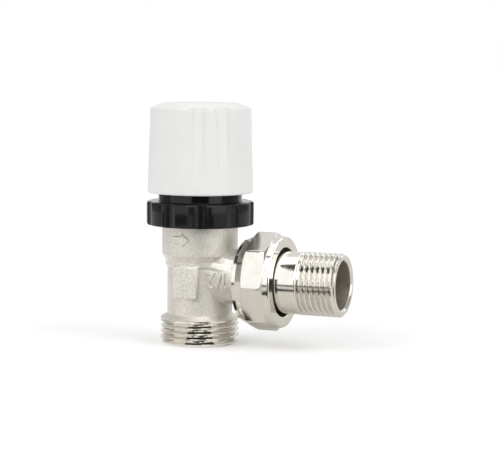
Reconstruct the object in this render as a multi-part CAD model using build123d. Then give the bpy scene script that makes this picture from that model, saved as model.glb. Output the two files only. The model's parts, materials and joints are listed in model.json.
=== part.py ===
from build123d import *
from math import cos, radians, tan
import os

# Angled radiator valve with a manual handwheel. Millimetres.
# Origin: centre of the inlet end face. +Z runs up the stem, +X runs out along the outlet.

# Inlet, with a conical seat for a pipe adapter
inlet_thread_d = 26.44
inlet_thread_turns = 4
inlet_chamfer = 1.1
cone_mouth_d = 19.6
cone_length = 6.7
inlet_bore_d = 16.0

# Threads: rings with flat crests stand for the two pipe threads that show, the others are plain
thread_pitch = 1.814
thread_depth = 1.0
thread_crest = 0.4
thread_chamfer = 0.9

# Barrel of the forged body
barrel_shoulder = 1.4
barrel_d = 21.9
step_z = 25.9
step_rise = 0.8
middle_d = 23.2
middle_height = 1.5
flare_height = 2.0
upper_d = 25.5
head_length = 5.7
head_shoulder_rise = 0.9
head_thread_d = 30.0
body_height = 46.0
pad_width = 8.7
pad_height = 10.7
pad_bottom_z = 16.1
pad_reach = 12.9
pad_corner = 0.5

# Seat and chamber inside the body
web_bottom_z = 12.2
web_cone = 2.0
seat_d = 10.0
seat_z = 17.0
seat_lip_d = 12.6
seat_lip_height = 1.0
chamber_d = 16.6

# Outlet neck and union
outlet_z = 22.0
neck_d = 17.6
neck_rise = 0.6
neck_fillet = 0.8
neck_end_x = 17.0
neck_collar_d = 27.2
neck_collar_width = 1.2
union_thread_d = 26.44
outlet_end_x = 25.0
outlet_bore_d = 12.0
union_cone_length = 3.8
union_cone_inner_d = 18.0
union_cone_mouth_d = 21.2
nut_across_flats = 30.7
nut_sides = 8
nut_turn = 2.3
nut_back_gap = 0.2
nut_end_x = 30.6
nut_band_drop = 0.1
nut_back_band = 2.35
nut_back_taper = 1.05
nut_back_bevel = 0.7
nut_face_bevel = 0.55
nut_face_band = 2.3
nut_face_taper = 0.15
nut_face_edge = 0.3
nut_front_wall = 2.9
nut_hole_d = 23.0

# Tailpiece
tail_end_x = 51.15
tail_collar_d = 25.2
tail_collar_gap = 0.3
tail_shank_d = 20.6
tail_thread_d = 20.96
tail_thread_turns = 7
tail_chamfer = 0.75
tail_bore_d = 15.94
tail_bore_depth = 16.4
tail_mouth_bevel = 0.55
tail_key_across_flats = 13.0
cone_gap = 0.3
nose_gap = 0.4
tail_seal_wire_d = 1.4
tail_seal_set_back = 1.8
tail_groove_width = 1.6
tail_groove_depth = 1.35

# Bonnet cartridge
bonnet_thread_d = 20.0
bonnet_shank_length = 12.0
bonnet_end_gap = 0.2
bonnet_flange_d = 22.6
bonnet_flange_height = 1.5
bonnet_hex_across_flats = 17.0
bonnet_hex_height = 2.5
bonnet_neck_d = 15.0
bonnet_neck_height = 3.0
bonnet_floor = 2.5
spring_room_d = 11.2
bonnet_groove_width = 2.2
bonnet_groove_offset = 1.0
bonnet_seal_wire_d = 1.8

# Gland
gland_thread_d = 12.0
gland_thread_length = 5.0
gland_hex_across_flats = 12.0
gland_hex_height = 2.5
gland_washer_thickness = 0.7
gland_seal_wire_d = 1.7

# Pin, stem and disc
stroke = 2.25
closing_height = 11.8
pin_d = 3.0
pin_head_d = 4.8
pin_head_height = 0.8
pin_tip_d = 2.0
pin_tip_height = 0.5
pin_head_gap = 0.2
stem_d = 5.0
clip_set_back = 0.8
clip_thickness = 0.6
clip_d = 7.2
clip_groove_d = 4.0
clip_opening = 3.4
washer_thickness = 0.8
washer_d = 10.4
spring_coil_d = 8.0
spring_wire_d = 0.9
spring_turns = 4.5
spring_end_gap = 0.05
wire_sides = 8
seat_gap = 0.1
disc_seal_thickness = 2.5
disc_seal_d = 12.0
disc_spigot_d = 3.6
holder_plate = 1.5
holder_rim_wall = 0.6
holder_rim_drop = 1.2
disc_nut_across_flats = 6.0
disc_nut_height = 1.8
stem_tip = 0.4

# Black adapter ring
ring_drop = 6.1
ring_height = 7.9
ring_bottom_round = 0.8
ring_top_bevel = 0.8
ring_recesses = 10
ring_recess_turn = -65.6
ring_recess_width = 4.5
ring_recess_depth = 0.85
ring_proud = 0.25
ring_neck_wall = 1.4
ring_neck_height = 10.2
ring_neck_bevel = 0.5
retainer_set_back = 0.5
retainer_thickness = 0.8
retainer_depth = 1.0
retainer_opening = 4.0

# White handwheel
wheel_gap = 2.9
wheel_height = 29.95
wheel_neck_gap = 1.85
wheel_draft = 0.85
wheel_crown_height = 1.75
wheel_crown_inset = 4.4
wheel_edge_round = 0.5
wheel_top_wall = 2.3
wheel_skirt_wall = 1.9
wheel_step_gap = 0.75
wheel_upper_wall = 3.3
flute_pairs = 3
flute_pair_turn = -54.9
flute_spacing = 28.7
flute_bottom_offset = 6.9
flute_top_depth = 1.5
flute_top_width = 4.4
flute_bottom_width = 3.0
flute_wall_angle = 30.0
flute_lip_drop = 1.6
flute_lip_depth = 1.2
sleeve_thread_d = 23.0
sleeve_thread_height = 3.3
sleeve_stop_gap = 0.4
sleeve_d = 21.6
sleeve_wall = 1.4
hub_d = 9.0
plug_head_height = 3.8
plug_stem_d = 5.8
plug_stem_length = 7.0
plug_pin_gap = 0.15

# Clearances, on the radius
running_gap = 0.08
thread_gap = 0.1
seal_gap = 0.05
fit_gap = 0.05

# Places that follow from the sizes above
inlet_thread_r = inlet_thread_d / 2
inlet_thread_length = inlet_chamfer + inlet_thread_turns * thread_pitch + thread_crest
head_shoulder_z = body_height - head_length
union_thread_r = union_thread_d / 2
head_thread_r = head_thread_d / 2
union_cone_x = outlet_end_x - union_cone_length
nut_start_x = neck_end_x + neck_collar_width + nut_back_gap
nut_length = nut_end_x - nut_start_x
nut_shoulder_x = nut_end_x - nut_front_wall
tail_collar_x = outlet_end_x + tail_collar_gap
tail_nose_x = union_cone_x + nose_gap
tail_thread_x = tail_end_x - tail_chamfer - thread_crest - tail_thread_turns * thread_pitch
bonnet_bottom_z = body_height - bonnet_shank_length
spring_floor_z = bonnet_bottom_z + bonnet_floor
bonnet_flange_z = body_height + bonnet_flange_height
bonnet_hex_z = bonnet_flange_z + bonnet_hex_height
bonnet_top_z = bonnet_hex_z + bonnet_neck_height
gland_bottom_z = bonnet_top_z - gland_thread_length
gland_top_z = bonnet_top_z + gland_hex_height
pin_bore_r = pin_d / 2 + running_gap
gland_recess_r = pin_bore_r + gland_seal_wire_d + seal_gap
gland_recess_z = gland_bottom_z + gland_washer_thickness + gland_seal_wire_d + 2 * seal_gap
pin_top_z = body_height + closing_height + stroke
stem_top_z = gland_bottom_z - pin_head_gap - pin_head_height
clip_bottom_z = stem_top_z - clip_set_back - clip_thickness
washer_bottom_z = clip_bottom_z - washer_thickness
disc_bottom_z = seat_z + stroke + seat_gap
disc_top_z = disc_bottom_z + disc_seal_thickness
holder_top_z = disc_top_z + holder_plate
ring_bottom_z = body_height - ring_drop
ring_top_z = ring_bottom_z + ring_height
neck_top_z = ring_top_z + ring_neck_height
retainer_top_z = neck_top_z - retainer_set_back
retainer_bottom_z = retainer_top_z - retainer_thickness
sleeve_thread_r = sleeve_thread_d / 2
neck_bore_r = sleeve_thread_r + thread_gap
neck_r = neck_bore_r + retainer_depth + ring_neck_wall
wheel_skirt_r = neck_r + wheel_neck_gap
wheel_bottom_r = wheel_skirt_r + wheel_skirt_wall
wheel_shoulder_r = wheel_bottom_r - wheel_draft
ring_r = wheel_bottom_r + ring_proud
wheel_bottom_z = ring_top_z + wheel_gap
wheel_top_z = wheel_bottom_z + wheel_height
wheel_shoulder_z = wheel_top_z - wheel_crown_height
wheel_ceiling_z = wheel_top_z - wheel_top_wall
wheel_step_z = neck_top_z + stroke + wheel_step_gap
flute_bottom_z = wheel_bottom_z + flute_bottom_offset
sleeve_thread_top_z = retainer_bottom_z - sleeve_stop_gap
sleeve_bottom_z = sleeve_thread_top_z - sleeve_thread_height
plug_bottom_z = pin_top_z + plug_pin_gap
hub_bottom_z = plug_bottom_z + plug_head_height


def turned(*outline):
    """Solid of revolution about Z from an outline of (radius, height) points."""
    edge = Polyline(*[(radius, 0, height) for radius, height in outline], close=True)
    return revolve(make_face(edge), Axis.Z)


def thread_rings(radius, start, turns):
    """Outline points of a thread's crests and grooves, from the start of its first crest."""
    points = []
    for index in range(turns):
        crest = start + index * thread_pitch
        root = crest + (thread_crest + thread_pitch) / 2
        points += [(radius, crest), (radius, crest + thread_crest), (radius - thread_depth, root)]
    return points + [(radius, start + turns * thread_pitch)]


def along_outlet(part):
    """Carry a part that was turned about Z over to the outlet axis."""
    return Pos(0, 0, outlet_z) * Rot(0, 90, 0) * part


def prism(sides, across_flats, height, turn=0):
    """Right prism on the XY plane, sized across its flats."""
    outline = RegularPolygon(across_flats / 2, sides, major_radius=False, rotation=turn)
    return extrude(outline, height)


def ring_of(outer_r, inner_r, bottom_z, height):
    """Plain flat ring."""
    top_z = bottom_z + height
    return turned((inner_r, bottom_z), (outer_r, bottom_z), (outer_r, top_z), (inner_r, top_z))


def seal_ring(middle_r, wire_d, z):
    """Rubber ring with an eight-sided section, inside its round wire."""
    section = Pos(middle_r, 0, z) * Rot(90, 0, 0) * RegularPolygon(wire_d / 2, wire_sides)
    return revolve(section, Axis.Z)


def open_ring(ring, radius, opening):
    """Cut the opening that lets a sprung ring close and spread, on the -X side."""
    return ring - Pos(-radius, 0, 0) * Box(2 * radius, opening, 4 * body_height)


def union_cone_r(x):
    """Radius of the conical union seat at a place along the outlet."""
    share = (x - union_cone_x) / union_cone_length
    return (union_cone_inner_d + share * (union_cone_mouth_d - union_cone_inner_d)) / 2


def wheel_wall_r(z):
    """Radius of the handwheel's tapered wall at a height."""
    share = (z - wheel_bottom_z) / (wheel_shoulder_z - wheel_bottom_z)
    return wheel_bottom_r - share * wheel_draft


def make_valve_body():
    shoulder_z = inlet_thread_length + barrel_shoulder
    middle_z = step_z + step_rise
    flare_z = middle_z + middle_height
    thread_z = head_shoulder_z + head_shoulder_rise
    core = turned((0, 0), (barrel_d / 2, 0), (barrel_d / 2, body_height), (0, body_height))
    neck = along_outlet(turned((0, 0), (neck_d / 2, 0), (neck_d / 2, neck_end_x), (0, neck_end_x)))
    neck = Pos(0, 0, neck_rise) * neck
    forging = core + neck
    forging = fillet(new_edges(core, neck, combined=forging), neck_fillet)
    forging += turned(
        (0, 0),
        (inlet_thread_r - inlet_chamfer, 0),
        *thread_rings(inlet_thread_r, inlet_chamfer, inlet_thread_turns),
        (inlet_thread_r, inlet_thread_length),
        (barrel_d / 2, shoulder_z),
        (0, shoulder_z),
    )
    forging += turned(
        (0, step_z),
        (barrel_d / 2, step_z),
        (middle_d / 2, middle_z),
        (middle_d / 2, flare_z),
        (upper_d / 2, flare_z + flare_height),
        (upper_d / 2, head_shoulder_z),
        (head_thread_r, thread_z),
        (head_thread_r, body_height - thread_chamfer),
        (head_thread_r - thread_chamfer, body_height),
        (0, body_height),
    )
    collar_x = neck_end_x + neck_collar_width
    forging += along_outlet(turned(
        (0, neck_end_x),
        (neck_collar_d / 2, neck_end_x),
        (neck_collar_d / 2, collar_x),
        (union_thread_r, collar_x),
        (union_thread_r, outlet_end_x - thread_chamfer),
        (union_thread_r - thread_chamfer, outlet_end_x),
        (0, outlet_end_x),
    ))
    pad = Pos(0, -pad_reach / 2, pad_bottom_z + pad_height / 2) * Box(pad_width, pad_reach, pad_height)
    forging += fillet(pad.faces().sort_by(Axis.Y)[0].edges(), pad_corner)
    forging -= turned(
        (0, 0),
        (cone_mouth_d / 2, 0),
        (inlet_bore_d / 2, cone_length),
        (inlet_bore_d / 2, web_bottom_z),
        (seat_d / 2, web_bottom_z + web_cone),
        (seat_d / 2, seat_z),
        (seat_lip_d / 2, seat_z),
        (seat_lip_d / 2, seat_z - seat_lip_height),
        (chamber_d / 2, seat_z - seat_lip_height),
        (chamber_d / 2, bonnet_bottom_z - bonnet_end_gap),
        (bonnet_thread_d / 2 + fit_gap, bonnet_bottom_z - bonnet_end_gap),
        (bonnet_thread_d / 2 + fit_gap, body_height),
        (0, body_height),
    )
    return forging - along_outlet(turned(
        (0, (seat_lip_d + chamber_d) / 4),
        (outlet_bore_d / 2, (seat_lip_d + chamber_d) / 4),
        (outlet_bore_d / 2, union_cone_x),
        (union_cone_inner_d / 2, union_cone_x),
        (union_cone_mouth_d / 2, outlet_end_x),
        (0, outlet_end_x),
    ))


def make_union_nut():
    corner_r = nut_across_flats / 2 / cos(radians(180 / nut_sides))
    band_r = nut_across_flats / 2 - nut_band_drop
    back_x = nut_start_x + nut_back_band
    face_x = nut_end_x - nut_face_band
    face_r = band_r - nut_face_taper
    blank = Pos(0, 0, nut_start_x) * prism(nut_sides, nut_across_flats, nut_length, nut_turn)
    blank &= turned(
        (0, nut_start_x),
        (band_r - nut_back_taper, nut_start_x),
        (band_r, back_x),
        (corner_r, back_x + nut_back_bevel),
        (corner_r, face_x - nut_face_bevel),
        (band_r, face_x),
        (face_r, nut_end_x - nut_face_edge),
        (face_r - nut_face_edge, nut_end_x),
        (0, nut_end_x),
    )
    blank -= turned(
        (0, nut_start_x),
        (union_thread_r + thread_gap, nut_start_x),
        (union_thread_r + thread_gap, nut_shoulder_x),
        (nut_hole_d / 2, nut_shoulder_x),
        (nut_hole_d / 2, nut_end_x),
        (0, nut_end_x),
    )
    return along_outlet(blank)


def make_tailpiece():
    groove_x = union_cone_x + tail_seal_set_back - tail_groove_width / 2
    groove_end_x = groove_x + tail_groove_width
    groove_r = union_cone_r(groove_x) - cone_gap - tail_groove_depth
    blank = turned(
        (0, tail_nose_x),
        (union_cone_r(tail_nose_x) - cone_gap, tail_nose_x),
        (union_cone_r(groove_x) - cone_gap, groove_x),
        (groove_r, groove_x),
        (groove_r, groove_end_x),
        (union_cone_r(groove_end_x) - cone_gap, groove_end_x),
        (union_cone_r(outlet_end_x) - cone_gap, outlet_end_x),
        (union_cone_r(outlet_end_x) - cone_gap, tail_collar_x),
        (tail_collar_d / 2, tail_collar_x),
        (tail_collar_d / 2, nut_shoulder_x),
        (tail_shank_d / 2, nut_shoulder_x),
        (tail_shank_d / 2, tail_thread_x),
        *thread_rings(tail_thread_d / 2, tail_thread_x, tail_thread_turns),
        (tail_thread_d / 2, tail_end_x - tail_chamfer),
        (tail_thread_d / 2 - tail_chamfer, tail_end_x),
        (0, tail_end_x),
    )
    bore_x = tail_end_x - tail_bore_depth
    bore_r = tail_bore_d / 2
    blank -= turned(
        (0, bore_x),
        (bore_r, bore_x),
        (bore_r, tail_end_x - tail_mouth_bevel),
        (bore_r + tail_mouth_bevel, tail_end_x),
        (0, tail_end_x),
    )
    blank -= Pos(0, 0, tail_nose_x) * prism(6, tail_key_across_flats, bore_x - tail_nose_x)
    return along_outlet(blank)


def make_tailpiece_seal():
    seal_x = union_cone_x + tail_seal_set_back
    groove_r = union_cone_r(seal_x - tail_groove_width / 2) - cone_gap - tail_groove_depth
    wire_r = tail_seal_wire_d / 2
    return along_outlet(seal_ring(groove_r + seal_gap + wire_r, tail_seal_wire_d, seal_x))


def bonnet_groove_r():
    return bonnet_thread_d / 2 - bonnet_seal_wire_d - seal_gap


def make_bonnet():
    groove_z = bonnet_bottom_z + bonnet_groove_offset
    thread_r = bonnet_thread_d / 2
    shank = turned(
        (0, bonnet_bottom_z),
        (thread_r, bonnet_bottom_z),
        (thread_r, groove_z),
        (bonnet_groove_r(), groove_z),
        (bonnet_groove_r(), groove_z + bonnet_groove_width),
        (thread_r, groove_z + bonnet_groove_width),
        (thread_r, body_height),
        (bonnet_flange_d / 2, body_height),
        (bonnet_flange_d / 2, bonnet_flange_z),
        (bonnet_neck_d / 2, bonnet_flange_z),
        (bonnet_neck_d / 2, bonnet_top_z),
        (0, bonnet_top_z),
    )
    shank += Pos(0, 0, bonnet_flange_z) * prism(6, bonnet_hex_across_flats, bonnet_hex_height)
    return shank - turned(
        (0, bonnet_bottom_z),
        (stem_d / 2 + running_gap, bonnet_bottom_z),
        (stem_d / 2 + running_gap, spring_floor_z),
        (spring_room_d / 2, spring_floor_z),
        (spring_room_d / 2, gland_bottom_z),
        (gland_thread_d / 2 + fit_gap, gland_bottom_z),
        (gland_thread_d / 2 + fit_gap, bonnet_top_z),
        (0, bonnet_top_z),
    )


def make_bonnet_seal():
    wire_r = bonnet_seal_wire_d / 2
    seal_z = bonnet_bottom_z + bonnet_groove_offset + bonnet_groove_width / 2
    return seal_ring(bonnet_groove_r() + seal_gap + wire_r, bonnet_seal_wire_d, seal_z)


def make_gland_nut():
    blank = turned(
        (0, gland_bottom_z),
        (gland_thread_d / 2, gland_bottom_z),
        (gland_thread_d / 2, bonnet_top_z),
        (0, bonnet_top_z),
    )
    blank += Pos(0, 0, bonnet_top_z) * prism(6, gland_hex_across_flats, gland_hex_height)
    return blank - turned(
        (0, gland_bottom_z),
        (gland_recess_r, gland_bottom_z),
        (gland_recess_r, gland_recess_z),
        (pin_bore_r, gland_recess_z),
        (pin_bore_r, gland_top_z),
        (0, gland_top_z),
    )


def make_gland_washer():
    return ring_of(gland_recess_r - fit_gap, pin_bore_r, gland_bottom_z, gland_washer_thickness)


def make_gland_seal():
    wire_r = gland_seal_wire_d / 2
    seal_z = gland_bottom_z + gland_washer_thickness + seal_gap + wire_r
    return seal_ring(pin_bore_r + wire_r, gland_seal_wire_d, seal_z)


def make_pressure_pin():
    head_z = stem_top_z + pin_head_height
    return turned(
        (0, stem_top_z),
        (pin_head_d / 2, stem_top_z),
        (pin_head_d / 2, head_z),
        (pin_d / 2, head_z),
        (pin_d / 2, pin_top_z - pin_tip_height),
        (pin_tip_d / 2, pin_top_z),
        (0, pin_top_z),
    )


def make_valve_stem():
    tip_z = disc_bottom_z - disc_nut_height - stem_tip
    groove_z = clip_bottom_z + clip_thickness
    return turned(
        (0, tip_z),
        (disc_spigot_d / 2, tip_z),
        (disc_spigot_d / 2, holder_top_z),
        (stem_d / 2, holder_top_z),
        (stem_d / 2, clip_bottom_z),
        (clip_groove_d / 2, clip_bottom_z),
        (clip_groove_d / 2, groove_z),
        (stem_d / 2, groove_z),
        (stem_d / 2, stem_top_z),
        (0, stem_top_z),
    )


def make_spring_washer():
    return ring_of(washer_d / 2, stem_d / 2 + fit_gap, washer_bottom_z, washer_thickness)


def make_stem_clip():
    ring = ring_of(clip_d / 2, clip_groove_d / 2 + fit_gap, clip_bottom_z, clip_thickness)
    return open_ring(ring, clip_d / 2, clip_opening)


def make_return_spring():
    wire_r = spring_wire_d / 2
    start_z = spring_floor_z + wire_r + spring_end_gap
    rise = washer_bottom_z - wire_r - spring_end_gap - start_z
    path = Pos(0, 0, start_z) * Helix(rise / spring_turns, rise, spring_coil_d / 2)
    section = Plane(path @ 0, z_dir=path % 0) * RegularPolygon(wire_r, wire_sides)
    return sweep(section, path, is_frenet=True)


def make_disc_holder():
    rim_r = disc_seal_d / 2 + fit_gap
    outer_r = rim_r + holder_rim_wall
    rim_z = disc_top_z - holder_rim_drop
    return turned(
        (disc_spigot_d / 2 + fit_gap, disc_top_z),
        (rim_r, disc_top_z),
        (rim_r, rim_z),
        (outer_r, rim_z),
        (outer_r, holder_top_z),
        (disc_spigot_d / 2 + fit_gap, holder_top_z),
    )


def make_disc_seal():
    return ring_of(disc_seal_d / 2, disc_spigot_d / 2 + fit_gap, disc_bottom_z, disc_seal_thickness)


def make_disc_nut():
    nut = prism(6, disc_nut_across_flats, disc_nut_height) - Cylinder(
        disc_spigot_d / 2 + fit_gap, 2 * disc_nut_height
    )
    return Pos(0, 0, disc_bottom_z - disc_nut_height) * nut


def make_adapter_ring():
    ring = turned((0, ring_bottom_z), (ring_r, ring_bottom_z), (ring_r, ring_top_z), (0, ring_top_z))
    rims = ring.edges().filter_by(GeomType.CIRCLE).sort_by(Axis.Z)
    ring = fillet(rims[0], ring_bottom_round)
    rims = ring.edges().filter_by(GeomType.CIRCLE).sort_by(Axis.Z)
    ring = chamfer(rims[-1], ring_top_bevel)
    half_width = ring_recess_width / 2
    sagitta = ring_recess_depth - ring_r + (ring_r ** 2 - half_width ** 2) ** 0.5
    cutter_r = (half_width ** 2 + sagitta ** 2) / (2 * sagitta)
    cutter = Pos(ring_r - ring_recess_depth + cutter_r, 0, ring_bottom_z + ring_height / 2) * Cylinder(
        cutter_r, 2 * ring_height
    )
    for index in range(ring_recesses):
        ring -= Rot(0, 0, ring_recess_turn + index * 360 / ring_recesses) * cutter
    ring += turned(
        (0, ring_bottom_z + ring_height / 2),
        (neck_r, ring_bottom_z + ring_height / 2),
        (neck_r, neck_top_z - ring_neck_bevel),
        (neck_r - ring_neck_bevel, neck_top_z),
        (0, neck_top_z),
    )
    groove_r = neck_bore_r + retainer_depth
    return ring - turned(
        (0, ring_bottom_z),
        (head_thread_r + thread_gap, ring_bottom_z),
        (head_thread_r + thread_gap, body_height),
        (neck_bore_r, body_height),
        (neck_bore_r, retainer_bottom_z),
        (groove_r, retainer_bottom_z),
        (groove_r, retainer_top_z),
        (neck_bore_r, retainer_top_z),
        (neck_bore_r, neck_top_z),
        (0, neck_top_z),
    )


def make_retaining_ring():
    outer_r = neck_bore_r + retainer_depth - fit_gap
    inner_r = (sleeve_d / 2 + sleeve_thread_r) / 2 - thread_gap
    height = retainer_thickness - 2 * fit_gap
    ring = ring_of(outer_r, inner_r, retainer_bottom_z + fit_gap, height)
    return open_ring(ring, outer_r, retainer_opening)


def make_thrust_plug():
    return turned(
        (0, plug_bottom_z),
        (hub_d / 2, plug_bottom_z),
        (hub_d / 2, hub_bottom_z),
        (plug_stem_d / 2, hub_bottom_z),
        (plug_stem_d / 2, hub_bottom_z + plug_stem_length),
        (0, hub_bottom_z + plug_stem_length),
    )


def flute_section(z, floor_r, floor_width):
    """Trapezium that opens outwards from the flute's floor, at a height."""
    reach = wheel_upper_wall + flute_top_depth
    mouth_width = floor_width + 2 * reach * tan(radians(flute_wall_angle))
    mouth_r = floor_r + reach
    return make_face(Polyline(
        (floor_r, -floor_width / 2, z),
        (mouth_r, -mouth_width / 2, z),
        (mouth_r, mouth_width / 2, z),
        (floor_r, floor_width / 2, z),
        close=True,
    ))


def make_flute_cutter():
    """Tapered channel, flush with the wall at its foot and deepest at the shoulder."""
    rise = wheel_shoulder_z - flute_bottom_z
    share = (wheel_top_z - flute_bottom_z) / rise
    foot_r = wheel_wall_r(flute_bottom_z)
    head_r = foot_r + share * (wheel_wall_r(wheel_shoulder_z) - flute_top_depth - foot_r)
    head_width = flute_bottom_width + share * (flute_top_width - flute_bottom_width)
    foot = flute_section(flute_bottom_z, foot_r, flute_bottom_width)
    head = flute_section(wheel_top_z, head_r, head_width)
    channel = loft([foot, head], ruled=True)
    lip_z = wheel_top_z - flute_lip_drop
    lip_r = head_width / 2
    lip = Pos(head_r + lip_r, 0, (lip_z + wheel_top_z) / 2) * Cone(
        lip_r, lip_r + flute_lip_depth, wheel_top_z - lip_z
    )
    return channel + lip


def make_handwheel():
    upper_r = wheel_shoulder_r - wheel_upper_wall
    step_rise_z = wheel_step_z + wheel_skirt_r - upper_r
    wheel = turned(
        (0, wheel_bottom_z),
        (wheel_bottom_r, wheel_bottom_z),
        (wheel_shoulder_r, wheel_shoulder_z),
        (wheel_shoulder_r - wheel_crown_inset, wheel_top_z),
        (0, wheel_top_z),
    )
    rims = wheel.edges().filter_by(GeomType.CIRCLE).sort_by(Axis.Z)
    wheel = fillet(rims, wheel_edge_round)
    cutter = make_flute_cutter()
    for index in range(flute_pairs):
        middle = flute_pair_turn + index * 360 / flute_pairs
        for turn in (middle - flute_spacing / 2, middle + flute_spacing / 2):
            wheel -= Rot(0, 0, turn) * cutter
    wheel -= turned(
        (0, wheel_bottom_z),
        (wheel_skirt_r, wheel_bottom_z),
        (wheel_skirt_r, wheel_step_z),
        (upper_r, step_rise_z),
        (upper_r, wheel_ceiling_z),
        (0, wheel_ceiling_z),
    )
    sleeve_r = sleeve_d / 2
    wheel += turned(
        (sleeve_r - sleeve_wall, sleeve_bottom_z),
        (sleeve_thread_r, sleeve_bottom_z),
        (sleeve_thread_r, sleeve_thread_top_z),
        (sleeve_r, sleeve_thread_top_z),
        (sleeve_r, wheel_ceiling_z),
        (sleeve_r - sleeve_wall, wheel_ceiling_z),
    )
    plug_room_r = plug_stem_d / 2 + thread_gap
    plug_room_z = hub_bottom_z + plug_stem_length + thread_gap
    return wheel + turned(
        (plug_room_r, hub_bottom_z),
        (hub_d / 2, hub_bottom_z),
        (hub_d / 2, wheel_ceiling_z),
        (0, wheel_ceiling_z),
        (0, plug_room_z),
        (plug_room_r, plug_room_z),
    )


nodes = {
    "valve_body": make_valve_body,
    "union_nut": make_union_nut,
    "tailpiece": make_tailpiece,
    "tailpiece_seal": make_tailpiece_seal,
    "bonnet": make_bonnet,
    "bonnet_seal": make_bonnet_seal,
    "gland_nut": make_gland_nut,
    "gland_washer": make_gland_washer,
    "gland_seal": make_gland_seal,
    "pressure_pin": make_pressure_pin,
    "valve_stem": make_valve_stem,
    "spring_washer": make_spring_washer,
    "stem_clip": make_stem_clip,
    "return_spring": make_return_spring,
    "disc_holder": make_disc_holder,
    "disc_seal": make_disc_seal,
    "disc_nut": make_disc_nut,
    "adapter_ring": make_adapter_ring,
    "retaining_ring": make_retaining_ring,
    "thrust_plug": make_thrust_plug,
    "handwheel": make_handwheel,
}

os.makedirs("parts", exist_ok=True)
for name, make in nodes.items():
    export_step(make(), f"parts/{name}.step")
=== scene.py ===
import json
from math import cos, pi, radians, sin, sqrt, tan

import bmesh
import bpy
import numpy as np
from mathutils import Matrix, Vector
from mathutils.bvhtree import BVHTree


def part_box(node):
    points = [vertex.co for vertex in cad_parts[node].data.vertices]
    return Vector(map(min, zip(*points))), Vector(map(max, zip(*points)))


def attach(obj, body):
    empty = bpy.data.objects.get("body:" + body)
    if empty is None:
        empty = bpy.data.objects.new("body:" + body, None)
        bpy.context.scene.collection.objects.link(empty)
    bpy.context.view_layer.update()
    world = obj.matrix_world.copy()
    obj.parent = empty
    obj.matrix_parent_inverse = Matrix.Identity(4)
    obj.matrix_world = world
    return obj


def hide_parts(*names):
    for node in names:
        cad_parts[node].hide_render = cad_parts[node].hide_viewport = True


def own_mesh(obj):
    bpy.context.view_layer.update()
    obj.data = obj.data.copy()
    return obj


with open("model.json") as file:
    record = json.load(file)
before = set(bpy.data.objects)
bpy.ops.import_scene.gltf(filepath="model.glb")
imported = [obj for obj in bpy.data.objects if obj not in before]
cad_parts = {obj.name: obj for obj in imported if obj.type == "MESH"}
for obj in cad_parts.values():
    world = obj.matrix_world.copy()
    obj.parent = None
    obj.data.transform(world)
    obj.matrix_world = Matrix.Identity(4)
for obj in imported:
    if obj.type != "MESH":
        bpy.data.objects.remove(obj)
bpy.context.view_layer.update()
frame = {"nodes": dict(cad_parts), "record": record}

# Lengths below are in millimetres, in the frame of the model. Meshes are scaled to metres when they are made.
MM = 0.001

# Slack in comparisons of lengths, and how far inside an outer wall a row of points still belongs to it
tiny = 0.01
row_margin = 1

# How far outside a surface a cut lies where it takes nothing away
beyond = 5

# Points of a solid's facets that are closer than this are joined
weld_reach = 0.0005


def low(node):
    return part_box(node)[0] / MM


def high(node):
    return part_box(node)[1] / MM


# Camera, fitted to the outlines in the photograph
photo_width = 500
camera_azimuth = 23.433
camera_pan = -1.572
camera_tilt = 5.579
camera_roll = 0.478
camera_reach = 608.46
camera_height = 99.175
camera_focal_px = 1823.11
sensor_width = 36.0

# Threads
pipe_pitch = 1.814
pipe_depth = 1.1
head_pitch = 1.5
head_depth = 0.85
thread_rows = 16
thread_crest = 0.18
thread_root = 0.06
thread_overrun = 0.6
thread_runout = (0.8, 0.3)
thread_columns = 240
cutter_reach = 1.5
cutter_clearance = 0.04

# Inlet, head and union threads of the body
inlet_r = 13.22
inlet_thread_top = 8.75
inlet_chamfer = 1.1
inlet_runout = (0.3, 0.9)
inlet_thread_gap = 0.1
inlet_sleeve_r = 11.6
inlet_sleeve_lap = 0.02
head_r = 15.0
head_thread_bottom = 41.2
head_thread_top = high("valve_body").z
union_r = 13.22
union_thread_start = 18.2
union_thread_end = high("valve_body").x
union_collar_width = 1.25
outlet_z = (low("tailpiece").z + high("tailpiece").z) / 2
barrel_r = 10.95
upper_r = 12.75
neck_r = 8.8
neck_z = outlet_z + 0.6

# Limits of the turned surfaces on the body, and of the painted shade in the recess under the nut's front wall
barrel_skin = 0.6
neck_skin = 1.0
chamber_reach = 9.0
turned_margin = 0.05
crest_margin = 0.1
recess_depth = 0.35

# Tapered root of the neck, which meets the upper barrel in a crease
hood_root_x = 3.0
hood_root_r = 9.7
hood_root_z = 24.6
hood_tip_x = 16.0
hood_tip_r = 8.5
hood_tip_z = 22.9
hood_bore = 7.4
hood_core_r = 9.6
hood_core_bottom = 8.0
hood_core_top = 42.0
hood_core_columns = 120

# Handwheel
wheel_bottom = low("handwheel").z
wheel_top = high("handwheel").z
wheel_bottom_r = 17.75
wheel_shoulder_r = 16.9
wheel_top_r = 12.5
wheel_shoulder = wheel_top - 1.75
wheel_rim_round = 0.5
wheel_shoulder_round = 0.45
wheel_top_round = 0.6
wheel_row_step = 0.6
wheel_columns = 900
flute_pair = (-69.25, -40.55)
flute_angles = [turn + third for third in (0, 120, 240) for turn in flute_pair]
flute_bottom = wheel_bottom + 6.9
flute_runout = 1.5
flute_top_depth = 1.5
flute_bottom_width = 3.0
flute_top_width = 4.4
flute_wall_slope = tan(radians(30))
flute_blend = 0.12

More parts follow.
